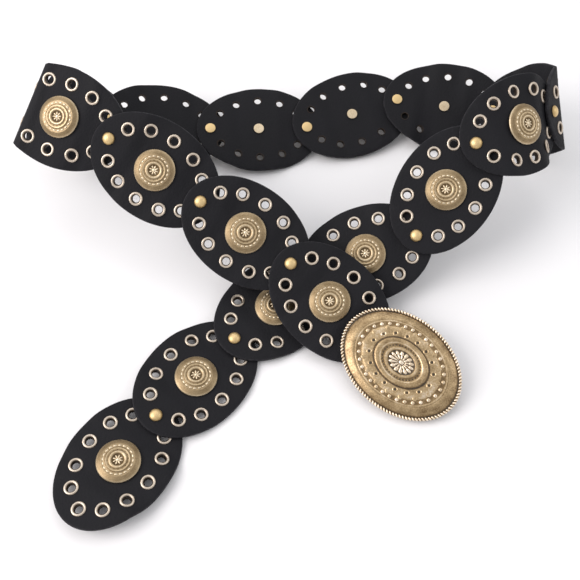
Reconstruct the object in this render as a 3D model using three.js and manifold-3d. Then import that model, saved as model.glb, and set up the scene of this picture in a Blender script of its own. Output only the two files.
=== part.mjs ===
// Concho belt: sixteen oval leather links riveted into a chain, a domed concho on each, and an oval
// plate buckle with a hook. It lies folded over itself, as laid on a table.
// Millimetres, +Z up, origin under the middle of the belt at the height of the table.
import * as THREE from "three";
import { mergeVertices } from "three/addons/utils/BufferGeometryUtils.js";
import Module from "manifold-3d";

// Leather links
const linkLong = 84;
const linkWide = 60;
const linkTip = 9; // straight edge at each end of the faceted oval
const leatherThick = 2.4;
const rivetPitch = 65.5; // from rivet to rivet of one link
const lapFlat = 11; // stretch on each side of a rivet that stays stiff
const seatFlat = 14; // stretch under a concho that stays flat
const lapGap = 0.3; // between two lapped links

// Eyelets, on an oval inside the edge of each link
const eyeletBore = 5;
const eyeletOvalLong = 62;
const eyeletOvalWide = 41.2;
const eyeletStep = 28.5; // degrees round the oval
const eyeletsPerSide = 5;
const eyeletSides = 7;

// Rivets between links
const shankAcross = 3;
const shankClear = 0.3; // round a shank in its hole
const shankSides = 6; // of its hole
const seatGap = 0.3; // under a cap, concho or back disc
const capAcross = 7.5;
const capHigh = 2.1;
const capShoulder = { out: 0.72, high: 0.68 }; // shares of its half width and height
const backAcross = 7;
const backHigh = 0.9;
const rivetSides = 8;

// Conchos
const conchoAcross = 25;
const conchoHigh = 4.2;
const conchoEdge = 0.8; // height of the rim
const conchoBeadRing = 17; // diameter where the face meets the bevelled rim
const conchoFace = 3.1; // height there
const conchoSides = 10;

// Buckle plate and its post
const plateLong = 77;
const plateWide = 57;
const plateHigh = 6.4;
const plateHollow = 2.2; // depth of the recess in its back
const plateClear = 3.8; // from the first link's leather to the plate's rim
const plateReach = 23; // from the post to the middle of the plate
const plateTurn = 4; // degrees the plate swings on its post
const plateSides = 28;
const bossAcross = 9;
const bossSunk = 1; // depth of the boss in the plate's back

// Hook under the plate
const hookWide = 4;
const hookThick = 2;
const hookFoot = 12;
const hookTongue = 10;
const hookThroat = 3.2; // room for the leather between foot and tongue
const hookReach = 22; // from the middle of the plate to the hook

// Relief of the plate: out is the share of its half size, high the share of its height
const plateRelief = [
  { out: 0.0, high: 0.92 },
  { out: 0.3, high: 0.88 },
  { out: 0.36, high: 1.0 },
  { out: 0.43, high: 0.98 },
  { out: 0.47, high: 0.8 },
  { out: 0.76, high: 0.66 },
  { out: 0.8, high: 0.68 },
  { out: 0.91, high: 0.36 },
  { out: 0.94, high: 0.52 },
  { out: 0.98, high: 0.5 },
  { out: 1.0, high: 0.3 },
];
const plateRimOut = 0.97; // share of the half size where the underside of the rim begins
const plateWallOut = 0.91; // inner edge of the rim's underside
const plateHollowOut = 0.78; // edge of the flat floor of the recess

// How the links lie, from the buckle to the tail, in degrees. bend curves a link over its front, and lean
// moves so much of it from the head half to the tail half, which creased bends beside the lap only. twist
// winds the link about its length, and turn swings the next link on the rivet between them.
const lay = [
  { bend: -9, twist: -5, turn: 10 },
  { bend: -6, twist: -6, turn: 0 },
  { bend: 2, twist: -9, turn: 12 },
  { bend: 83, lean: 33, creased: true, twist: 6, turn: -1 },
  { bend: 82, lean: -8, twist: -36, turn: 3 },
  { bend: 9, twist: -5, turn: -5 },
  { bend: 2, twist: 7, turn: -16 },
  { bend: 2, twist: -1, turn: 27 },
  { bend: 13, twist: 17, turn: -5 },
  { bend: 112, lean: 7, creased: true, twist: 17, turn: 4 },
  { bend: 59, lean: 7, twist: 21, turn: 36 },
  { bend: -2, twist: 1, turn: -37 },
  { bend: -9, twist: 11, turn: 24 },
  { bend: -15, twist: 5, turn: 7 },
  { bend: -2, twist: -3, turn: 7 },
  { bend: 0, twist: 10, turn: 0 },
];
const startHeadingAngle = 136; // degrees from +X, towards the tail
const startClimbAngle = 9.5;
const startRollAngle = -13;

const lapHalf = (leatherThick + lapGap) / 2;
const lapEdge = rivetPitch / 2 - lapFlat;
const riseFrom = conchoAcross / 2 - shankClear; // where the leather begins to rise into a lap
const edgeLong = riseFrom - seatFlat / 2;
const swellLong = lapEdge - riseFrom;
const swellShare = swellLong / (edgeLong + swellLong);
const evenShares = [swellShare / 2, swellShare / 2, 1 - swellShare]; // of half a bend, from the lap inwards
const creaseShares = [1, 0, 0];
const stepAngle = 6; // most degrees in one step along the leather
const strongBendAngle = 12; // degrees past which a link is faceted more finely along its length
const strongTwistAngle = 14; // degrees past which it is faceted in three strips across its width
const foldClear = 0.05; // between a fold and a hole
const weld = 1e-4; // distance under which corners are one
const { degToRad, clamp } = THREE.MathUtils;
const along = new THREE.Vector3(1, 0, 0);
const across = new THREE.Vector3(0, 1, 0);
const outward = new THREE.Vector3(0, 0, 1);

const wasm = await Module();
wasm.setup();

const leather = new THREE.MeshStandardMaterial({ color: 0x2b2b30, roughness: 0.62, metalness: 0 });
const brass = new THREE.MeshStandardMaterial({ color: 0xa88a55, roughness: 0.42, metalness: 1 });
const brightBrass = new THREE.MeshStandardMaterial({ color: 0xc09a58, roughness: 0.35, metalness: 1 });

// A closed three.js geometry as a solid that can be joined and cut.
function solid(geometry) {
  const bare = geometry.clone();
  bare.deleteAttribute("normal");
  bare.deleteAttribute("uv");
  const merged = mergeVertices(bare, weld);
  const triVerts = new Uint32Array(merged.index.array);
  const vertProperties = new Float32Array(merged.attributes.position.array);
  return new wasm.Manifold(new wasm.Mesh({ numProp: 3, vertProperties, triVerts }));
}

function geometryOf(body) {
  const { vertProperties, triVerts } = body.getMesh();
  const geometry = new THREE.BufferGeometry();
  geometry.setAttribute("position", new THREE.BufferAttribute(new Float32Array(vertProperties), 3));
  geometry.setIndex(new THREE.BufferAttribute(new Uint32Array(triVerts), 1));
  geometry.computeVertexNormals();
  return geometry;
}

const turned = (axis, degrees) => new THREE.Matrix4().makeRotationAxis(axis, degToRad(degrees));
const shifted = (x, y, z) => new THREE.Matrix4().makeTranslation(x, y, z);

// Carry a frame along a stretch of leather that bends and twists evenly.
function carry(frame, { length, bend, twist }, share = 1) {
  const steps = Math.max(1, Math.ceil(Math.abs(bend) / stepAngle));
  const axis = new THREE.Vector3(twist, bend, 0);
  const half = turned(axis.clone().normalize(), (axis.length() * share) / steps / 2);
  const step = shifted((length * share) / steps, 0, 0);
  for (let i = 0; i < steps; i += 1) frame.multiply(half).multiply(step).multiply(half);
}

// The stretches of a link from its head rivet to its tail rivet. It twists outside its concho only.
function stretches({ bend, lean = 0, creased = false, twist }) {
  const flatLap = { length: lapFlat, bend: 0, twist: 0 };
  const flatSeat = { length: seatFlat, bend: 0, twist: 0 };
  const fromLap = (halfBend, [besideLap, besideConcho, underEdge]) => [
    { length: swellLong / 2, bend: halfBend * besideLap, twist: twist / 4 },
    { length: swellLong / 2, bend: halfBend * besideConcho, twist: twist / 4 },
    { length: edgeLong, bend: halfBend * underEdge, twist: 0 },
  ];
  const toHead = fromLap(bend / 2 - lean, evenShares);
  const toTail = fromLap(bend / 2 + lean, creased ? creaseShares : evenShares).reverse();
  return [flatLap, ...toHead, flatSeat, ...toTail, flatLap];
}

// Frame on the middle line of a link at u from its centre: x towards the tail, z out of its front.
function lineFrame(link, u) {
  const frame = link.head.clone();
  let reached = -rivetPitch / 2;
  if (u < reached) return frame.multiply(shifted(u - reached, 0, 0));
  for (const stretch of link.stretches) {
    carry(frame, stretch, clamp((u - reached) / stretch.length, 0, 1));
    reached += stretch.length;
  }
  return frame.multiply(shifted(Math.max(0, u - reached), 0, 0));
}

// A link's tail end lies over the head end of the next, so its leather rises past the concho.
function lapLift(u) {
  return Math.sign(u) * clamp((Math.abs(u) - riseFrom) / (lapEdge - riseFrom), 0, 1) * lapHalf;
}

// A point of the leather in the link's own frame: u along, v across and w above its middle.
function inLeather(link, u, v, w) {
  const frame = new THREE.Matrix4().copy(link.seatInverse).multiply(lineFrame(link, u));
  return new THREE.Vector3(0, v, lapLift(u) + w).applyMatrix4(frame);
}

// Move a fold off the holes that it would cross, to the nearer edge of the hole.
function clearOfHoles(fold, holes) {
  const hit = holes.find(({ u, size }) => Math.abs(u - fold) < size / 2 + foldClear);
  return hit ? hit.u + Math.sign(fold - hit.u) * (hit.size / 2 + foldClear) : fold;
}

// Places along a link where its outline or its surface has a corner, from head tip to tail tip.
function foldPlaces(isBent, holes) {
  const halfLong = linkLong / 2;
  const tipFold = halfLong * Math.cos(Math.acos(lapEdge / halfLong) / 2);
  const wanted = [halfLong, tipFold, lapEdge, riseFrom, seatFlat / 2];
  if (isBent) wanted.push((lapEdge + riseFrom) / 2);
  const folds = wanted.flatMap((u) => [-u, u]).map((u) => clearOfHoles(u, holes));
  return folds.sort((a, b) => a - b);
}

// Half the width of the oval at u. Its sides are straight beside the concho's flat seat.
function halfWidth(u) {
  if (Math.abs(u) <= seatFlat / 2) return linkWide / 2;
  const share = Math.min(1, Math.abs(u) / (linkLong / 2));
  return Math.max(linkTip / 2, (linkWide / 2) * Math.sqrt(1 - share * share));
}

// A closed loop of corners round a hole.
function ring({ u, v, size, sides }) {
  const corners = [];
  for (let i = 0; i < sides; i += 1) {
    const angle = (2 * Math.PI * i) / sides;
    corners.push(new THREE.Vector2(u + (size / 2) * Math.cos(angle), v + (size / 2) * Math.sin(angle)));
  }
  return corners;
}

function eyeletPlaces(isTail) {
  const places = [];
  const middle = (eyeletsPerSide - 1) / 2;
  for (let i = 0; i < eyeletsPerSide; i += 1) {
    const angle = degToRad((i - middle) * eyeletStep);
    const u = (eyeletOvalLong / 2) * Math.sin(angle);
    const v = (eyeletOvalWide / 2) * Math.cos(angle);
    places.push({ u, v }, { u, v: -v });
  }
  if (isTail) places.push({ u: rivetPitch / 2, v: 0 });
  return places.map((place) => ({ ...place, size: eyeletBore, sides: eyeletSides }));
}

function shankPlaces(isTail) {
  const ends = isTail ? [-rivetPitch / 2, 0] : [-rivetPitch / 2, 0, rivetPitch / 2];
  return ends.map((u) => ({ u, v: 0, size: shankAcross + 2 * shankClear, sides: shankSides }));
}

// Flat cells that fill the oval from fold to fold, in three strips between seams where it is twisted.
function ovalCells(folds, isTwisted, seam) {
  const cells = [];
  const at = (u, side, isSeam) => {
    const inner = isSeam && Math.abs(u) < lapEdge + foldClear;
    return new THREE.Vector2(u, side * (inner ? seam : halfWidth(u)));
  };
  for (let i = 0; i + 1 < folds.length; i += 1) {
    const [from, to] = [folds[i], folds[i + 1]];
    const isTip = i === 0 || i + 2 === folds.length;
    const lines = isTwisted && !isTip ? [[-1, false], [-1, true], [1, true], [1, false]] : [[-1], [1]];
    for (let j = 0; j + 1 < lines.length; j += 1) {
      const [low, high] = [lines[j], lines[j + 1]];
      const corners = [at(from, ...low), at(to, ...low), at(to, ...high), at(from, ...high)];
      cells.push(corners.filter((corner, k) => !corner.equals(corners[(k + 3) % 4])));
    }
  }
  return cells;
}

// One link as a closed sheet of leather with its holes, bent and twisted as it lies.
function leatherOval(link, { bend, twist }, isTail) {
  const eyelets = eyeletPlaces(isTail);
  const places = [...eyelets, ...shankPlaces(isTail)];
  const folds = foldPlaces(Math.abs(bend) > strongBendAngle, places);
  const seam = (eyelets[0].v + eyelets[2].v) / 2; // between the outermost eyelet and the next
  const cells = ovalCells(folds, Math.abs(twist) > strongTwistAngle, seam);
  const holes = places.map(ring);
  const sides = [...folds.map((u) => new THREE.Vector2(u, -halfWidth(u))),
    ...[...folds].reverse().map((u) => new THREE.Vector2(u, halfWidth(u)))];
  const points = [];
  const layDown = (flat, w) => points.push(inLeather(link, flat.x, flat.y, w * leatherThick));
  for (const cell of cells) {
    const within = holes.filter((loop) => loop.every((corner) => isInside(cell, corner)));
    const corners = [...cell, ...within.flat()];
    for (const face of THREE.ShapeUtils.triangulateShape(cell, within)) {
      face.forEach((k) => layDown(corners[k], 0.5));
      [...face].reverse().forEach((k) => layDown(corners[k], -0.5));
    }
  }
  for (const loop of [sides, ...holes.map((hole) => [...hole].reverse())]) {
    loop.forEach((from, k) => {
      const to = loop[(k + 1) % loop.length];
      [[from, -0.5], [to, -0.5], [to, 0.5]].forEach((corner) => layDown(...corner));
      [[from, -0.5], [to, 0.5], [from, 0.5]].forEach((corner) => layDown(...corner));
    });
  }
  const sheet = mergeVertices(new THREE.BufferGeometry().setFromPoints(points), weld);
  sheet.computeVertexNormals();
  return sheet;
}

function isInside(cell, point) {
  return cell.every((from, k) => {
    const to = cell[(k + 1) % cell.length];
    return (to.x - from.x) * (point.y - from.y) - (to.y - from.y) * (point.x - from.x) > 0;
  });
}

// A round piece from a profile of radii and heights, starting and ending on its axis.
function turnedPiece(profile, sides) {
  const points = profile.map(([radius, height]) => new THREE.Vector2(radius, height));
  return new THREE.LatheGeometry(points.reverse(), sides).rotateX(Math.PI / 2);
}

// Shank and back disc that hold a piece down: from top, through the leather, to the disc under it.
function shankProfile(top, under) {
  return [
    [shankAcross / 2, top],
    [shankAcross / 2, under],
    [backAcross / 2, under],
    [0, under - backHigh],
  ];
}

function rivet() {
  const seat = lapHalf + leatherThick / 2 + seatGap;
  const cap = [
    [0, seat + capHigh],
    [(capAcross / 2) * capShoulder.out, seat + capHigh * capShoulder.high],
    [capAcross / 2, seat],
  ];
  return turnedPiece([...cap, ...shankProfile(seat, -seat)], rivetSides);
}

function concho() {
  const seat = leatherThick / 2 + seatGap;
  const dome = [
    [0, seat + conchoHigh],
    [conchoBeadRing / 2, seat + conchoFace],
    [conchoAcross / 2, seat + conchoEdge],
    [conchoAcross / 2, seat],
  ];
  return turnedPiece([...dome, ...shankProfile(seat, -seat)], conchoSides);
}

function bucklePlate() {
  const front = plateRelief.map(({ out, high }) => [out, high * plateHigh]);
  const back = [[plateRimOut, 0], [plateWallOut, 0], [plateHollowOut, plateHollow], [0, plateHollow]];
  const dish = turnedPiece([...front, ...back], plateSides).scale(plateLong / 2, plateWide / 2, 1);
  const leatherTop = -plateClear + seatGap;
  const under = -plateClear - leatherThick - seatGap;
  const bossTop = plateHollow + bossSunk;
  const boss = [[0, bossTop], [bossAcross / 2, bossTop], [bossAcross / 2, leatherTop]];
  const post = turnedPiece([...boss, ...shankProfile(leatherTop, under)], rivetSides);
  post.applyMatrix4(shifted(plateReach, 0, 0));
  return geometryOf(solid(dish).add(solid(post)));
}

function buckleHook() {
  const top = plateHollow - seatGap;
  const tongueTop = top - hookThick - hookThroat;
  const side = new THREE.Shape([
    new THREE.Vector2(-hookThick / 2, top),
    new THREE.Vector2(-hookThick / 2, tongueTop - hookThick),
    new THREE.Vector2(hookTongue - hookThick / 2, tongueTop - hookThick / 2),
    new THREE.Vector2(hookTongue - hookThick / 2, tongueTop),
    new THREE.Vector2(hookThick / 2, tongueTop),
    new THREE.Vector2(hookThick / 2, top - hookThick),
    new THREE.Vector2(hookFoot - hookThick / 2, top - hookThick),
    new THREE.Vector2(hookFoot - hookThick / 2, top),
  ]);
  const bar = new THREE.ExtrudeGeometry(side, { depth: hookWide, bevelEnabled: false });
  return bar.rotateX(Math.PI / 2).translate(-hookReach, hookWide / 2, 0);
}

const belt = new THREE.Group();

function place(name, geometry, material, frame) {
  const mesh = new THREE.Mesh(geometry, material);
  mesh.name = name;
  mesh.applyMatrix4(frame);
  belt.add(mesh);
}

const numbered = (word, number) => `${word}_${String(number).padStart(2, "0")}`;

// Walk the chain from the buckle to the tail
const frame = turned(outward, startHeadingAngle)
  .multiply(turned(across, -startClimbAngle))
  .multiply(turned(along, startRollAngle));
const links = [];
let before = { turn: 0 };
for (const row of lay) {
  const link = { head: frame.clone(), stretches: stretches(row) };
  link.seat = lineFrame(link, 0);
  link.seatInverse = link.seat.clone().invert();
  link.tail = lineFrame(link, rivetPitch / 2);
  links.push(link);
  frame.copy(link.tail).multiply(turned(outward, row.turn));
}

const conchoShape = concho();
const rivetShape = rivet();
links.forEach((link, index) => {
  const isTail = index === links.length - 1;
  place(numbered("link", index + 1), leatherOval(link, lay[index], isTail), leather, link.seat);
  place(numbered("concho", index + 1), conchoShape, brass, link.seat);
  if (!isTail) place(numbered("rivet", index + 1), rivetShape, brightBrass, link.tail);
});

const plateLift = plateClear + leatherThick / 2 - lapHalf;
const plateFrame = links[0].head.clone()
  .multiply(turned(outward, plateTurn))
  .multiply(shifted(-plateReach, 0, plateLift));
place("buckle_plate", bucklePlate(), brass, plateFrame);
place("buckle_hook", buckleHook(), brass, plateFrame);

// Stand the belt on the table, with its middle over the origin
const extent = new THREE.Box3().setFromObject(belt, true);
const middle = extent.getCenter(new THREE.Vector3());
belt.position.set(-middle.x, -middle.y, -extent.min.z);

export default belt;
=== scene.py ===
# Concho belt of riveted leather ovals, folded over itself on a pale table.
# Metres, +Z up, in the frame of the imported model.
import math

import bmesh
import bpy
from mathutils import Matrix, Vector


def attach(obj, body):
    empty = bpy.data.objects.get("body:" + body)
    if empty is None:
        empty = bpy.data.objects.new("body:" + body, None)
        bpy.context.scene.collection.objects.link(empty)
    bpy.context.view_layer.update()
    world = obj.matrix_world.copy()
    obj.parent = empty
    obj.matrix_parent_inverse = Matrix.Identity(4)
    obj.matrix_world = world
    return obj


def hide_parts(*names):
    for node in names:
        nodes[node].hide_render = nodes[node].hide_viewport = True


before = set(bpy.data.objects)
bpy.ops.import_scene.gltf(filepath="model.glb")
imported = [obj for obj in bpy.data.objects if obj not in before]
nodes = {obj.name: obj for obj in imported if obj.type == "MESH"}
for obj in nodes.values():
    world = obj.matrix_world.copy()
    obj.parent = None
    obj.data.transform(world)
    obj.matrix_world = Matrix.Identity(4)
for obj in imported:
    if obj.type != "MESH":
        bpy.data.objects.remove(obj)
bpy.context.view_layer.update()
mm = 0.001


# Shader sockets as Python values

class Wire:
    def __init__(self, finish, socket):
        self.finish = finish
        self.socket = socket

    def __add__(self, other):
        return self.finish.maths("ADD", self, other)

    def __sub__(self, other):
        return self.finish.maths("SUBTRACT", self, other)

    def __rsub__(self, other):
        return self.finish.maths("SUBTRACT", other, self)

    def __mul__(self, other):
        return self.finish.maths("MULTIPLY", self, other)

    __radd__ = __add__
    __rmul__ = __mul__


class Finish:
    def __init__(self, name):
        self.material = bpy.data.materials.new(name)
        self.material.use_nodes = True
        self.tree = self.material.node_tree
        self.tree.nodes.clear()

    # Any node: its type, its settings first, then the values or links of its sockets
    def node(self, kind, settings=None, sockets=None, output=0):
        made = self.tree.nodes.new(kind)
        for key, value in (settings or {}).items():
            if key == "stops":
                for index, (at, shade) in enumerate(value):
                    stop = made.color_ramp.elements[index] if index < 2 else made.color_ramp.elements.new(at)
                    stop.position, stop.color = at, (*shade, 1)
            else:
                setattr(made, key, value)
        for key, value in (sockets or {}).items():
            if isinstance(value, Wire):
                self.tree.links.new(value.socket, made.inputs[key])
            else:
                made.inputs[key].default_value = value
        return Wire(self, made.outputs[output]) if made.outputs else made

    def maths(self, operation, a, b=0.0, clamped=False):
        settings = {"operation": operation, "use_clamp": clamped}
        return self.node("ShaderNodeMath", settings, {0: a, 1: b})

    def mixed(self, share, low, high):
        low, high = [c if isinstance(c, Wire) else (*c, 1) for c in (low, high)]
        return self.node("ShaderNodeMix", {"data_type": "RGBA"}, {0: share, 6: low, 7: high}, 2)

    def ranged(self, value, fromLow, fromHigh, toLow=0.0, toHigh=1.0):
        sockets = {0: value, 1: fromLow, 2: fromHigh, 3: toLow, 4: toHigh}
        return self.node("ShaderNodeMapRange", {}, sockets)

    def coat(self, **sockets):
        shader = self.node("ShaderNodeBsdfPrincipled", {},
                           {k.replace("_", " "): v for k, v in sockets.items()})
        self.node("ShaderNodeOutputMaterial", {}, {"Surface": shader})
        return self.material


def objectPlace(finish):
    return finish.node("ShaderNodeTexCoord", {}, {}, 3)


def speckle(finish, place, scale, detail=2.0):
    return finish.node("ShaderNodeTexNoise", {}, {"Vector": place, "Scale": scale, "Detail": detail})


def blackLeather(look):
    finish = Finish("blackLeather")
    place = objectPlace(finish)
    rim = finish.node("ShaderNodeAttribute", {"attribute_name": "rim"}, {}, 2)
    pebbles = finish.node("ShaderNodeTexVoronoi", {"feature": "SMOOTH_F1"},
                          {"Vector": place, "Scale": look["grainScale"], "Smoothness": 0.6})
    creases = speckle(finish, place, look["creaseScale"], 4.0)
    clouds = speckle(finish, place, look["cloudScale"], 3.0)
    shade = finish.mixed(finish.ranged(clouds, 0.3, 0.7), look["deep"], look["face"])
    # Painted highlight: the cut edge (rim attribute) is made lighter in colour, broken up by crease noise
    shade = finish.mixed(rim * look["edgeHighlightShare"] * finish.ranged(creases, 0.35, 0.65), shade, look["edge"])
    height = pebbles * 0.6 + creases * 0.8
    bump = finish.node("ShaderNodeBump", {}, {"Strength": look["bump"], "Distance": look["bumpDepth"],
                                              "Height": height})
    rough = finish.ranged(clouds, 0.3, 0.7, look["roughLow"], look["roughHigh"]) - rim * 0.06
    return finish.coat(Base_Color=shade, Roughness=rough, Normal=bump, Specular_IOR_Level=look["gloss"])


def shadedAgedBrass(name, look):
    finish = Finish(name)
    place = objectPlace(finish)
    wearAndShade = look.get("evenWear") or finish.node("ShaderNodeAttribute", {"attribute_name": "wearAndShade"}, {}, 2)
    clouds = speckle(finish, place, look["cloudScale"], 4.0)
    grit = speckle(finish, place, look["gritScale"], 2.0)
    wornAndShaded = finish.maths("ADD", wearAndShade + (clouds - 0.5) * look["cloudShare"],
                        (grit - 0.5) * look["gritShare"], True)
    # Colour from the wear-and-shade value: darker in hollows, lighter on crests; on the eyelets the dark bore
    # is painted shade
    stops = [(0.0, look["recess"]), (1.0, look["crest"]), (0.32, look["shadow"]), (0.66, look["body"])]
    shade = finish.node("ShaderNodeValToRGB", {"stops": stops}, {0: wornAndShaded})
    bump = finish.node("ShaderNodeBump", {}, {"Strength": look["bump"], "Distance": look["bumpDepth"],
                                              "Height": grit + clouds * 0.5})
    rough = finish.ranged(wornAndShaded, 0.0, 1.0, look["roughRecess"], look["roughCrest"])
    metal = finish.ranged(wornAndShaded, 0.0, 0.35, look["metalRecess"], 1.0)
    return finish.coat(Base_Color=shade, Metallic=metal, Roughness=rough, Normal=bump,
                       Coat_Weight=look["lacquer"], Coat_Roughness=look["lacquerRough"])


leatherLook = {
    "face": (0.0100, 0.0099, 0.0125), "deep": (0.0060, 0.0059, 0.0078), "edge": (0.045, 0.043, 0.05),
    "edgeHighlightShare": 0.5, "grainScale": 900.0, "creaseScale": 420.0, "cloudScale": 45.0,
    "bump": 0.35, "bumpDepth": 0.0006, "roughLow": 0.6, "roughHigh": 0.74, "gloss": 0.2,
}
conchoLook = {
    "recess": (0.045, 0.030, 0.014), "shadow": (0.18, 0.122, 0.06), "body": (0.515, 0.395, 0.24),
    "crest": (0.92, 0.80, 0.60), "cloudScale": 160.0, "gritScale": 1500.0, "cloudShare": 0.26,
    "gritShare": 0.26, "bump": 0.3, "bumpDepth": 0.0002, "roughRecess": 0.62, "roughCrest": 0.36,
    "metalRecess": 0.55, "lacquer": 0.12, "lacquerRough": 0.4,
}
buckleLook = dict(conchoLook, cloudScale=190.0, cloudShare=0.62, gritScale=1100.0, gritShare=0.5, bump=0.4,
                  shadow=(0.20, 0.122, 0.048), body=(0.57, 0.41, 0.22), crest=(1.0, 0.86, 0.68),
                  roughRecess=0.5, roughCrest=0.3, lacquer=0.7, lacquerRough=0.3)
rivetLook = dict(conchoLook, body=(0.58, 0.41, 0.19), crest=(0.80, 0.60, 0.31), cloudShare=0.15,
                 gritShare=0.10, roughCrest=0.44)
hookLook = dict(rivetLook, evenWear=0.66)
# Eyelet colours: the near-black recess stop paints the shade inside the bore
eyeletLook = dict(conchoLook, body=(0.42, 0.35, 0.28), crest=(0.66, 0.57, 0.47),
                  recess=(0.02, 0.012, 0.008),
                  shadow=(0.11, 0.08, 0.055), cloudShare=0.14, gritShare=0.10)
leatherFinish = blackLeather(leatherLook)
conchoFinish = shadedAgedBrass("antiqueBrass", conchoLook)
buckleFinish = shadedAgedBrass("castBrass", buckleLook)
rivetFinish = shadedAgedBrass("rivetBrass", rivetLook)
hookFinish = shadedAgedBrass("hookBrass", hookLook)
eyeletFinish = shadedAgedBrass("eyeletMetal", eyeletLook)
print("finishes made")


# How the belt lies: each link as bend over its front, lean of the bend to its tail half, whether that half is
# creased beside the lap, twist along it and turn on its rivet, in degrees
chain = {
    "start": (0.042723, -0.046481, 0.009942), "heading": 136, "climb": 9.5, "roll": -13,
    "pitch": 0.0655, "lapFlat": 0.011, "seatHalf": 0.007, "riseFrom": 0.0122, "lapHalf": 0.00135,
    "bendStep": 6, "calm": 0.005, "spineStep": 0.0005,
    "lay": [(-9, 0, False, -5, 10), (-6, 0, False, -6, 0), (2, 0, False, -9, 12), (83, 33, True, 6, -1),
            (82, -8, False, -36, 3), (9, 0, False, -5, -5), (2, 0, False, 7, -16), (2, 0, False, -1, 27),
            (13, 0, False, 17, -5), (112, 7, True, 17, 4), (59, 7, False, 21, 36), (-2, 0, False, 1, -37),
            (-9, 0, False, 11, 24), (-15, 0, False, 5, 7), (-2, 0, False, -3, 7), (0, 0, False, 10, 0)],
}


def rotation(degrees, axis):
    return Matrix.Rotation(math.radians(degrees), 4, axis)


def carried(place, length, bend=0.0, twist=0.0):
    steps = max(1, math.ceil(abs(bend) / chain["bendStep"]))
    swing = Vector((twist, bend, 0))
    half = rotation(swing.length / steps / 2, swing.normalized()) if swing.length else Matrix()
    for _ in range(steps):
        place = place @ half @ Matrix.Translation((length / steps, 0, 0)) @ half
    return place


def walkChain():
    lapEdge = chain["pitch"] / 2 - chain["lapFlat"]
    underEdge, swell = chain["riseFrom"] - chain["seatHalf"], lapEdge - chain["riseFrom"]
    share = swell / (swell + underEdge)
    lengths = (swell / 2, swell / 2, underEdge)
    evenly, creased = (share / 2, share / 2, 1 - share), (1, 0, 0)
    place = Matrix.Translation(chain["start"]) @ rotation(chain["heading"], "Z")
    place = place @ rotation(-chain["climb"], "Y") @ rotation(chain["roll"], "X")
    links = []
    for bend, lean, isCreased, twist, turn in chain["lay"]:
        head = place
        twists = (twist / 4, twist / 4, 0)
        place = carried(place, chain["lapFlat"])
        for length, part, wound in zip(lengths, evenly, twists):
            place = carried(place, length, (bend / 2 - lean) * part, wound)
        seat = carried(place, chain["seatHalf"])
        place = carried(seat, chain["seatHalf"])
        for length, part, wound in list(zip(lengths, creased if isCreased else evenly, twists))[::-1]:
            fold = place
            place = carried(place, length, (bend / 2 + lean) * part, wound)
        tail = carried(place, chain["lapFlat"])
        calm = chain["calm"]
        knots = {-1: [(calm, seat @ Matrix.Translation((-calm, 0, 0))),
                      (lapEdge, head @ Matrix.Translation((chain["lapFlat"], 0, 0)))],
                 1: [(calm, seat @ Matrix.Translation((calm, 0, 0))), (lapEdge, place)]}
        if isCreased:
            knots[1].insert(1, (chain["riseFrom"] + swell / 2, fold))
        links.append({"head": head, "seat": seat, "tail": tail, "knots": knots})
        place = tail @ rotation(turn, "Z")
    return links


def eased(t):
    t = min(1.0, max(0.0, t))
    return t * t * (3 - 2 * t)


def spineAt(link, u):  # a smooth curve through the knots, straight within the first and past the last
    side = 1 if u > 0 else -1
    knots = link["knots"][side]
    if abs(u) <= knots[0][0]:
        return link["seat"] @ Matrix.Translation((u, 0, 0))
    if abs(u) >= knots[-1][0]:
        return knots[-1][1] @ Matrix.Translation((u - side * knots[-1][0], 0, 0))
    (start, near), (end, far) = next(pair for pair in zip(knots, knots[1:]) if abs(u) <= pair[1][0])
    length = end - start
    t = (abs(u) - start) / length
    a, b = near.translation, far.translation
    da, db = [m.col[0].to_3d() * length * side for m in (near, far)]
    point = (a * (2 * t**3 - 3 * t**2 + 1) + da * (t**3 - 2 * t**2 + t)
             + b * (3 * t**2 - 2 * t**3) + db * (t**3 - t**2))
    way = (a * (6 * t**2 - 6 * t) + da * (3 * t**2 - 4 * t + 1)
           + b * (6 * t - 6 * t**2) + db * (3 * t**2 - 2 * t))
    x = (way * side).normalized()
    across = near.col[1].to_3d().lerp(far.col[1].to_3d(), eased(t))
    z = x.cross(across).normalized()
    y = z.cross(x)
    return Matrix(((x.x, y.x, z.x, point.x), (x.y, y.y, z.y, point.y), (x.z, y.z, z.z, point.z),
                   (0, 0, 0, 1)))


def addSpines(links, reach):
    count = math.ceil(reach / chain["spineStep"])
    for link in links:
        link["spine"] = [spineAt(link, i * chain["spineStep"]) for i in range(-count, count + 1)]
        link["spineFrom"] = -count * chain["spineStep"]


def lapRise(u):
    lapEdge = chain["pitch"] / 2 - chain["lapFlat"]
    return math.copysign(eased((abs(u) - chain["riseFrom"]) / (lapEdge - chain["riseFrom"])),
                         u) * chain["lapHalf"]


def laidPoint(link, u, v, w):
    at = (u - link["spineFrom"]) / chain["spineStep"]
    i = min(len(link["spine"]) - 2, max(0, int(at)))
    flat = Vector((0, v, w + lapRise(u)))
    return (link["spine"][i] @ flat).lerp(link["spine"][i + 1] @ flat, at - i)


def laidFrame(link, u, v):
    here = laidPoint(link, u, v, 0)
    x = (laidPoint(link, u + mm, v, 0) - laidPoint(link, u - mm, v, 0)).normalized()
    y = (laidPoint(link, u, v + mm, 0) - laidPoint(link, u, v - mm, 0)).normalized()
    z = x.cross(y).normalized()
    y = z.cross(x)
    return Matrix(((x.x, y.x, z.x, here.x), (x.y, y.y, z.y, here.y), (x.z, y.z, z.z, here.z), (0, 0, 0, 1)))


# Mesh helpers

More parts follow.
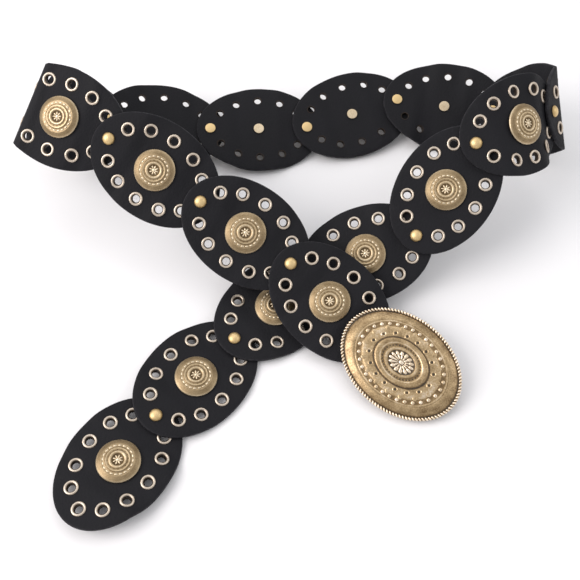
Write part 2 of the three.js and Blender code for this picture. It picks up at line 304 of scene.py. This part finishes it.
def spun(profile, steps, scale=(mm, mm, mm)):
    mesh = bmesh.new()
    wearAndShade = mesh.verts.layers.float.new("wearAndShade")
    verts = []
    for radius, height, wornAndShaded in profile:
        verts.append(mesh.verts.new((radius, 0, height)))
        verts[-1][wearAndShade] = wornAndShaded
    edges = [mesh.edges.new(pair) for pair in zip(verts, verts[1:])]
    bmesh.ops.spin(mesh, geom=verts + edges, cent=(0, 0, 0), axis=(0, 0, 1), dvec=(0, 0, 0),
                   angle=2 * math.pi, steps=steps, use_merge=True, use_normal_flip=False,
                   use_duplicate=False)
    bmesh.ops.scale(mesh, vec=scale, verts=mesh.verts)
    bmesh.ops.remove_doubles(mesh, verts=mesh.verts, dist=1e-6)
    bmesh.ops.recalc_face_normals(mesh, faces=mesh.faces)
    return mesh


def addBead(mesh, place, size, wornAndShaded, fineness=1):
    wearAndShade = mesh.verts.layers.float["wearAndShade"]
    made = bmesh.ops.create_icosphere(mesh, subdivisions=fineness, radius=1,
                                      matrix=place @ Matrix.Diagonal((*size, 1)))
    for vert in made["verts"]:
        vert[wearAndShade] = wornAndShaded


def smoothed(mesh, sharpFrom=38):
    for face in mesh.faces:
        face.smooth = True
    for edge in mesh.edges:
        edge.smooth = edge.calc_face_angle(0) < math.radians(sharpFrom)
    return mesh


def meshData(name, mesh):
    data = bpy.data.meshes.new(name)
    mesh.to_mesh(data)
    mesh.free()
    return data


def placedPiece(name, data, finish, slotName, *standsFor):
    piece = bpy.data.objects.new(name, data)
    bpy.context.scene.collection.objects.link(piece)
    data.materials.clear()
    data.materials.append(finish)
    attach(piece, "root")
    if standsFor:
        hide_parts(*standsFor)
    return piece


# Leather ovals
leatherOval = {
    "long": 84.0, "wide": 60.0, "thick": 2.4, "rimSides": 96, "holeSides": 20, "gridLong": 1.6,
    "gridWide": 6.0,
    "rimSteps": [(0.62, 1.0), (0.22, 0.86), (0.0, 0.5)],  # inset in mm, share of half the thickness
}
eyelet = {
    "bore": 5.0, "ovalLong": 62.0, "ovalWide": 41.2, "step": 28.5, "perSide": 5, "sides": 16,
    # radius and height over the middle of the leather in mm, wear-and-shade value; the low values on the bore
    # wall and the back flange paint shade there
    "profile": [(2.3, -1.3, 0.0), (2.3, 0.5, 0.1), (2.55, 1.2, 0.3), (2.9, 1.7, 0.7), (3.25, 1.95, 0.95),
                (3.8, 1.93, 1.0), (4.2, 1.6, 0.8), (4.28, 1.1, 0.3), (2.45, 1.1, 0.0), (2.45, -1.1, 0.0),
                (2.8, -1.22, 0.02), (2.7, -1.42, 0.05)],
}


def eyeletPlaces(isTail):
    places = []
    for i in range(eyelet["perSide"]):
        angle = math.radians((i - (eyelet["perSide"] - 1) / 2) * eyelet["step"])
        u, v = eyelet["ovalLong"] / 2 * math.sin(angle), eyelet["ovalWide"] / 2 * math.cos(angle)
        places += [(u * mm, v * mm), (u * mm, -v * mm)]
    return places + ([(chain["pitch"] / 2, 0)] if isTail else [])


def flatOval(isTail):
    mesh = bmesh.new()
    rim = mesh.verts.layers.float.new("rim")
    half = leatherOval["thick"] / 2 * mm
    longHalf, wideHalf = leatherOval["long"] / 2 * mm, leatherOval["wide"] / 2 * mm
    steps = leatherOval["rimSteps"]
    rings = ([(inset * mm, -share) for inset, share in steps]
             + [(inset * mm, share) for inset, share in steps[::-1]])

    def wall(center, radii, sides, profile):  # a wall of rings from the underside to the face
        made = bmesh.ops.create_circle(mesh, segments=sides, radius=1, cap_ends=False)
        edges = list({edge for vert in made["verts"] for edge in vert.link_edges})
        bottom = None
        for index, (inset, share) in enumerate(profile):
            if index:
                grown = bmesh.ops.extrude_edge_only(mesh, edges=edges)["geom"]
                edges = [item for item in grown if isinstance(item, bmesh.types.BMEdge)]
            for vert in {vert for edge in edges for vert in edge.verts}:
                way = Vector((vert.co.x - center[0], vert.co.y - center[1])) if index else vert.co.to_2d()
                angle = vert[angleLayer] if index else math.atan2(way.y, way.x)
                vert[angleLayer] = angle
                vert.co = (center[0] + (radii[0] - inset) * math.cos(angle),
                           center[1] + (radii[1] - inset) * math.sin(angle), share * half)
                # rim marks the cut edge, where the leather finish paints a highlight
                vert[rim] = 1.0 if radii[0] > 0.01 and inset < 0.4 * mm else 0.0
            bottom = bottom or edges
        return bottom, edges

    angleLayer = mesh.verts.layers.float.new("angle")
    walls = [wall((0, 0), (longHalf, wideHalf), leatherOval["rimSides"], rings)]
    bore = eyelet["bore"] / 2 * mm
    for place in eyeletPlaces(isTail):
        walls.append(wall(place, (bore, bore), leatherOval["holeSides"], [(0, -1), (0, 1)]))
    mesh.verts.layers.float.remove(mesh.verts.layers.float["angle"])
    for side in (0, 1):
        bmesh.ops.triangle_fill(mesh, use_beauty=True, use_dissolve=False,
                                edges=[e for w in walls for e in w[side]])
    for size, spacing, axis in ((longHalf, leatherOval["gridLong"] * mm, 0),
                                (wideHalf, leatherOval["gridWide"] * mm, 1)):
        count = int(size / spacing)
        for i in range(-count, count + 1):
            plane = [0, 0, 0]
            plane[axis] = 1
            faces = [face for face in mesh.faces if abs(face.normal.z) > 0.999]
            geom = (faces + list({e for f in faces for e in f.edges})
                    + list({v for f in faces for v in f.verts}))
            bmesh.ops.bisect_plane(mesh, geom=geom, dist=1e-6, plane_co=[i * spacing * k for k in plane],
                                   plane_no=plane)
    bmesh.ops.recalc_face_normals(mesh, faces=mesh.faces)
    return mesh


def laidLeather(name, link, flat):
    mesh = flat.copy()
    for vert in mesh.verts:
        vert.co = laidPoint(link, *vert.co)
    return meshData(name, smoothed(mesh, 60))


def laidEyelets(name, link, isTail, ring):
    mesh = bmesh.new()
    for u, v in eyeletPlaces(isTail):
        copy = ring.copy()
        copy.transform(laidFrame(link, u, v))
        mesh.from_mesh(copy)
    return meshData(name, mesh)


# Conchos
concho = {
    "sides": 64, "seat": 1.5,
    # radius, height over the seat in mm, wear-and-shade value: darker in hollows, lighter on crests
    "profile": [(0.0, 2.9, 0.42), (2.85, 2.9, 0.2), (3.2, 3.05, 0.2), (3.5, 3.4, 0.42), (3.85, 3.74, 0.68),
                (4.4, 3.86, 0.72), (4.8, 3.8, 0.68), (5.1, 3.56, 0.36), (5.4, 3.48, 0.36),
                (6.1, 3.46, 0.56),
                (6.4, 3.58, 0.68), (6.8, 3.54, 0.66), (7.05, 3.26, 0.36), (7.35, 3.08, 0.4),
                (7.6, 3.04, 0.56),
                (9.0, 2.56, 0.5), (9.2, 2.62, 0.56), (9.5, 2.54, 0.46), (10.0, 2.36, 0.43),
                (11.3, 1.72, 0.46),
                (12.0, 1.22, 0.62), (12.35, 0.92, 0.84), (12.5, 0.5, 0.7), (12.4, 0.0, 0.3),
                (1.5, 0.0, 0.3),
                (1.5, -3.0, 0.5), (3.2, -3.0, 0.6), (3.5, -3.25, 0.75), (3.4, -3.6, 0.8),
                (0.0, -3.85, 0.8)],
    # rings of marks: count, radius, height, half lengths across, along and up, wear-and-shade value, fineness,
    # first turn
    "marks": [(20, 8.3, 2.76, 0.5, 1.04, 0.42, 0.92, 2, 0.0),
              (20, 7.42, 3.12, 0.2, 0.34, 0.1, 0.35, 1, 0.5),
              (16, 5.75, 3.52, 0.34, 0.42, 0.1, 0.36, 1, 0.0), (16, 4.42, 3.8, 0.3, 0.5, 0.1, 0.8, 1, 0.5),
              (8, 1.78, 3.0, 1.24, 0.5, 0.5, 0.86, 2, 0.5), (1, 0.0, 3.05, 1.15, 1.15, 0.6, 0.9, 2, 0.0)],
}


def conchoShape():
    mesh = spun([(r, h + concho["seat"], w) for r, h, w in concho["profile"]], concho["sides"])
    for count, radius, height, across, along, up, wornAndShaded, fineness, first in concho["marks"]:
        for i in range(count):
            place = rotation(360 * (i + first) / count, "Z")
            place = place @ Matrix.Translation((radius * mm, 0, (concho["seat"] + height) * mm))
            addBead(mesh, place, (across * mm, along * mm, up * mm), wornAndShaded, fineness)
    return meshData("conchoShape", smoothed(mesh))


# Rivets between links: domed cap in front, flat disc behind
rivet = {
    "sides": 24, "seat": 2.85,
    # radius and height in mm and wear-and-shade value: lighter on the crown, darker towards the rim of the cap
    "profile": [(0.0, 2.1, 1.0), (1.3, 1.98, 0.95), (2.4, 1.6, 0.85), (3.2, 1.0, 0.72), (3.65, 0.4, 0.6),
                (3.75, 0.05, 0.45), (3.6, 0.0, 0.3), (1.5, 0.0, 0.3), (1.5, -5.7, 0.3), (3.4, -5.7, 0.5),
                (3.5, -5.9, 0.8), (3.4, -6.25, 0.9), (2.4, -6.5, 0.9), (0.0, -6.6, 0.9)],
}


def rivetShape():
    return meshData("rivetShape", smoothed(spun([(r, h + rivet["seat"], w) for r, h, w in rivet["profile"]],
                                                rivet["sides"])))


# Buckle plate: relief as share of the half size, height in mm and wear-and-shade value
buckle = {
    "long": 77.0, "wide": 57.0, "sides": 128, "reach": 23.0, "turn": 4, "lift": 3.65,
    "relief": [(0.0, 5.15, 0.1), (0.22, 5.15, 0.04), (0.232, 5.38, 0.55), (0.25, 5.5, 0.74),
               (0.27, 5.48, 0.66),
               (0.282, 5.34, 0.4), (0.29, 5.3, 0.42), (0.335, 5.36, 0.42), (0.345, 5.62, 0.7),
               (0.358, 5.74, 0.8),
               (0.37, 5.7, 0.56), (0.385, 5.84, 0.56), (0.41, 5.92, 0.58), (0.435, 5.8, 0.5),
               (0.448, 5.45, 0.25),
               (0.456, 5.02, 0.05), (0.468, 4.92, 0.05), (0.48, 4.92, 0.56), (0.56, 4.78, 0.64),
               (0.61, 4.72, 0.7),
               (0.645, 4.52, 0.62), (0.66, 4.32, 0.36), (0.735, 4.14, 0.36), (0.748, 4.26, 0.66),
               (0.762, 4.28, 0.7), (0.772, 4.12, 0.4), (0.785, 4.22, 0.6), (0.81, 4.14, 0.54),
               (0.865, 3.5, 0.48),
               (0.91, 2.6, 0.46), (0.93, 2.3, 0.26), (0.94, 2.0, 0.0), (0.952, 2.0, 0.02),
               (0.962, 2.3, 0.3),
               (0.985, 2.25, 0.35), (0.998, 1.8, 0.4), (0.995, 0.6, 0.4), (0.97, 0.0, 0.45),
               (0.91, 0.0, 0.45),
               (0.8, 2.1, 0.25), (0.78, 2.2, 0.25), (0.0, 2.2, 0.3)],
    # rings of marks: count, share, height, half lengths across, along and up, wear-and-shade value, fineness,
    # first step, slant
    "marks": [(108, 0.978, 2.3, 0.58, 1.3, 0.72, 1.0, 2, 0.0, 38),
              (32, 0.7, 4.3, 1.25, 1.25, 0.8, 0.84, 2, 0.5, 0),
              (16, 0.6, 4.6, 1.5, 2.6, 0.2, 0.66, 2, 0.5, 0),
              (36, 0.312, 5.36, 0.62, 0.44, 0.12, 0.0, 1, 0.0, 0)],
    "ringDots": {"count": 16, "share": 0.53, "height": 4.84, "radius": 1.35, "thick": 0.3},
    # flower: size as share, petals as lengths of its half size
    "flower": {"share": 0.222, "petals": 14, "height": 5.2, "middle": (0.2, 0.2, 0.6),
               "bodies": [(0.74, 0.22, 0.145, 0.55), (0.5, 0.28, 0.075, 0.45)]},
}


def ovalPlaces(share, count, shift=0.0):  # evenly spaced places on an oval ring of the plate
    a, b = buckle["long"] / 2 * share * mm, buckle["wide"] / 2 * share * mm
    fine = 720
    lengths = [0.0]
    for i in range(fine):
        t, s = 2 * math.pi * i / fine, 2 * math.pi * (i + 1) / fine
        lengths.append(lengths[-1] + math.hypot(a * (math.cos(s) - math.cos(t)),
                                                b * (math.sin(s) - math.sin(t))))
    places = []
    for k in range(count):
        goal = lengths[-1] * ((k + shift) % count) / count
        index = next(i for i in range(fine) if lengths[i + 1] >= goal)
        t = 2 * math.pi * (index + (goal - lengths[index]) / (lengths[index + 1] - lengths[index])) / fine
        way = math.degrees(math.atan2(b * math.cos(t), -a * math.sin(t)))
        places.append(Matrix.Translation((a * math.cos(t), b * math.sin(t), 0)) @ rotation(way, "Z"))
    return places


def lifted(place, height):
    return Matrix.Translation((0, 0, height * mm)) @ place


def buckleShape(boss):
    mesh = spun(buckle["relief"], buckle["sides"], (buckle["long"] / 2 * mm, buckle["wide"] / 2 * mm, mm))
    for count, share, height, across, along, up, wornAndShaded, fineness, first, slant in buckle["marks"]:
        for place in ovalPlaces(share, count, first):
            place = lifted(place, height) @ rotation(slant, "Z")
            addBead(mesh, place, (across * mm, along * mm, up * mm), wornAndShaded, fineness)
    dots, flower = buckle["ringDots"], buckle["flower"]
    for place in ovalPlaces(dots["share"], dots["count"]):
        addRing(mesh, lifted(place, dots["height"]), dots["radius"], dots["thick"])
    halfSize = [buckle[side] / 2 * flower["share"] * mm for side in ("long", "wide")]
    oval = Matrix.Diagonal((*halfSize, mm, 1)) @ Matrix.Translation((0, 0, flower["height"]))
    for i in range(flower["petals"]):
        for out, halfLong, halfWide, up in flower["bodies"]:
            place = oval @ rotation(360 * (i + 0.5) / flower["petals"],
                                    "Z") @ Matrix.Translation((out, 0, 0))
            addBead(mesh, place, (halfLong, halfWide, up), 0.9, 2)
    addBead(mesh, oval, flower["middle"], 0.95, 2)
    boss.transform(Matrix.Translation((buckle["reach"] * mm, 0, 0)))
    mesh.from_mesh(boss)
    return mesh


def addRing(mesh, place, radius, thick):  # a raised ring with a dark pit
    wearAndShade = mesh.verts.layers.float["wearAndShade"]
    made = bmesh.ops.create_circle(mesh, segments=6, radius=thick * mm, cap_ends=False,
                                   matrix=Matrix.Translation((radius * mm, 0, 0)) @ rotation(90, "X"))
    verts = made["verts"]
    edges = list({edge for vert in verts for edge in vert.link_edges})
    before = set(mesh.verts) - set(verts)
    bmesh.ops.spin(mesh, geom=verts + edges, cent=(0, 0, 0), axis=(0, 0, 1), dvec=(0, 0, 0),
                   angle=2 * math.pi,
                   steps=12, use_merge=True, use_normal_flip=False, use_duplicate=False)
    fresh = [vert for vert in mesh.verts if vert not in before]
    for vert in fresh:
        vert[wearAndShade] = 0.66
    bmesh.ops.transform(mesh, matrix=place, verts=fresh)
    addBead(mesh, place, (radius * 0.72 * mm, radius * 0.72 * mm, 0.14 * mm), 0.0)


post = {
    "sides": 24,
    "profile": [(0.0, 3.2, 0.3), (4.5, 3.2, 0.3), (4.5, -3.3, 0.5), (4.3, -3.5, 0.6), (1.5, -3.5, 0.4),
                (1.5, -6.5, 0.4), (3.3, -6.5, 0.5), (3.5, -6.7, 0.8), (3.4, -7.05, 0.9), (1.4, -7.35, 0.7),
                (0.0, -7.4, 0.7)],
}

links = walkChain()
addSpines(links, 0.0425)
plainOval, tailOval = flatOval(False), flatOval(True)
ringMesh = smoothed(spun(eyelet["profile"] + eyelet["profile"][:1], eyelet["sides"]), 50)
ring = meshData("eyeletRing", ringMesh)
conchoMesh, rivetMesh = conchoShape(), rivetShape()
print("shapes made: leather", len(plainOval.faces), "concho", len(conchoMesh.polygons), "eyelet",
      len(ring.polygons))


def standing(source, name, place):
    data = source.copy()
    data.name = name
    data.transform(place)
    return data


for number, link in enumerate(links, 1):
    isTail = number == len(links)
    tag = f"{number:02d}"
    leatherMesh = laidLeather("leatherOval" + tag, link, tailOval if isTail else plainOval)
    placedPiece("leatherOval" + tag, leatherMesh, leatherFinish, "leather", "link_" + tag)
    placedPiece("eyelets" + tag, laidEyelets("eyelets" + tag, link, isTail, ring), eyeletFinish,
                "concho_brass")
    domeMesh = standing(conchoMesh, "conchoDome" + tag, link["seat"] @ rotation(11 * number, "Z"))
    placedPiece("conchoDome" + tag, domeMesh, conchoFinish, "concho_brass", "concho_" + tag)
    if not isTail:
        capMesh = standing(rivetMesh, "rivetCap" + tag, link["tail"])
        placedPiece("rivetCap" + tag, capMesh, rivetFinish, "rivet_brass", "rivet_" + tag)
plainOval.free()
tailOval.free()
print("links laid")

plateFrame = links[0]["head"] @ rotation(buckle["turn"], "Z")
plateFrame = plateFrame @ Matrix.Translation((-buckle["reach"] * mm, 0, buckle["lift"] * mm))
bossMesh = meshData("boss", spun(post["profile"], post["sides"]))
castMesh = buckleShape(bossMesh)
castMesh.transform(plateFrame)
placedPiece("bucklePlateCast", meshData("bucklePlateCast", smoothed(castMesh)), buckleFinish,
            "buckle_brass", "buckle_plate")
hook = nodes["buckle_hook"]
hook.data.materials.clear()
hook.data.materials.append(hookFinish)
print("buckle placed")

# Table, light and camera
studio = {
    "floor": (0.90, 0.895, 0.905), "floorShade": (0.875, 0.87, 0.882), "floorSize": 8.0,
    "sky": (0.99, 0.985, 1.0), "skyStrength": 0.72,
    "lamps": [  # place, size, power, colour
        ((-1.2, -0.25, 0.98), 1.1, 17.0, (1.0, 0.95, 0.93)),
        ((-0.3, 1.0, 1.3), 1.8, 7.0, (0.99, 0.99, 1.0)),
        ((1.2, 0.1, 0.9), 0.9, 2.5, (0.98, 0.99, 1.0)),
    ],
    "aim": (-0.004233, -0.006596, 0.000397), "elevation": 59.63, "distance": 0.5471, "lens": 54.55,
}
ground = bmesh.new()
bmesh.ops.create_grid(ground, x_segments=1, y_segments=1, size=studio["floorSize"] / 2)
floor = bpy.data.objects.new("floor", meshData("floor", ground))
bpy.context.scene.collection.objects.link(floor)
paper = Finish("palePaper")
cloudy = speckle(paper, objectPlace(paper), 3.0)
paperShade = paper.mixed(cloudy, studio["floorShade"], studio["floor"])
floor.data.materials.append(paper.coat(Base_Color=paperShade, Roughness=0.75, Specular_IOR_Level=0.2))

world = bpy.data.worlds.new("studio")
bpy.context.scene.world = world
world.use_nodes = True
world.node_tree.nodes["Background"].inputs["Color"].default_value = (*studio["sky"], 1)
world.node_tree.nodes["Background"].inputs["Strength"].default_value = studio["skyStrength"]
for index, (place, size, power, colour) in enumerate(studio["lamps"], 1):
    lamp = bpy.data.lights.new(f"softbox{index}", "AREA")
    lamp.size, lamp.energy, lamp.color = size, power, colour
    body = bpy.data.objects.new(f"softbox{index}", lamp)
    body.location = place
    body.rotation_euler = (Vector(studio["aim"]) - Vector(place)).to_track_quat("-Z", "Y").to_euler()
    bpy.context.scene.collection.objects.link(body)

camera = bpy.data.objects.new("camera", bpy.data.cameras.new("camera"))
tilt = math.radians(studio["elevation"])
camera.data.lens = studio["lens"]
camera.data.clip_start, camera.data.clip_end = 0.01, 50
camera.location = Vector(studio["aim"]) + Vector((0, -math.cos(tilt), math.sin(tilt))) * studio["distance"]
camera.rotation_euler = (math.pi / 2 - tilt, 0, 0)
bpy.context.scene.collection.objects.link(camera)
bpy.context.scene.camera = camera
bpy.context.scene.view_settings.view_transform = "Standard"
print("studio set")

bpy.context.view_layer.update()
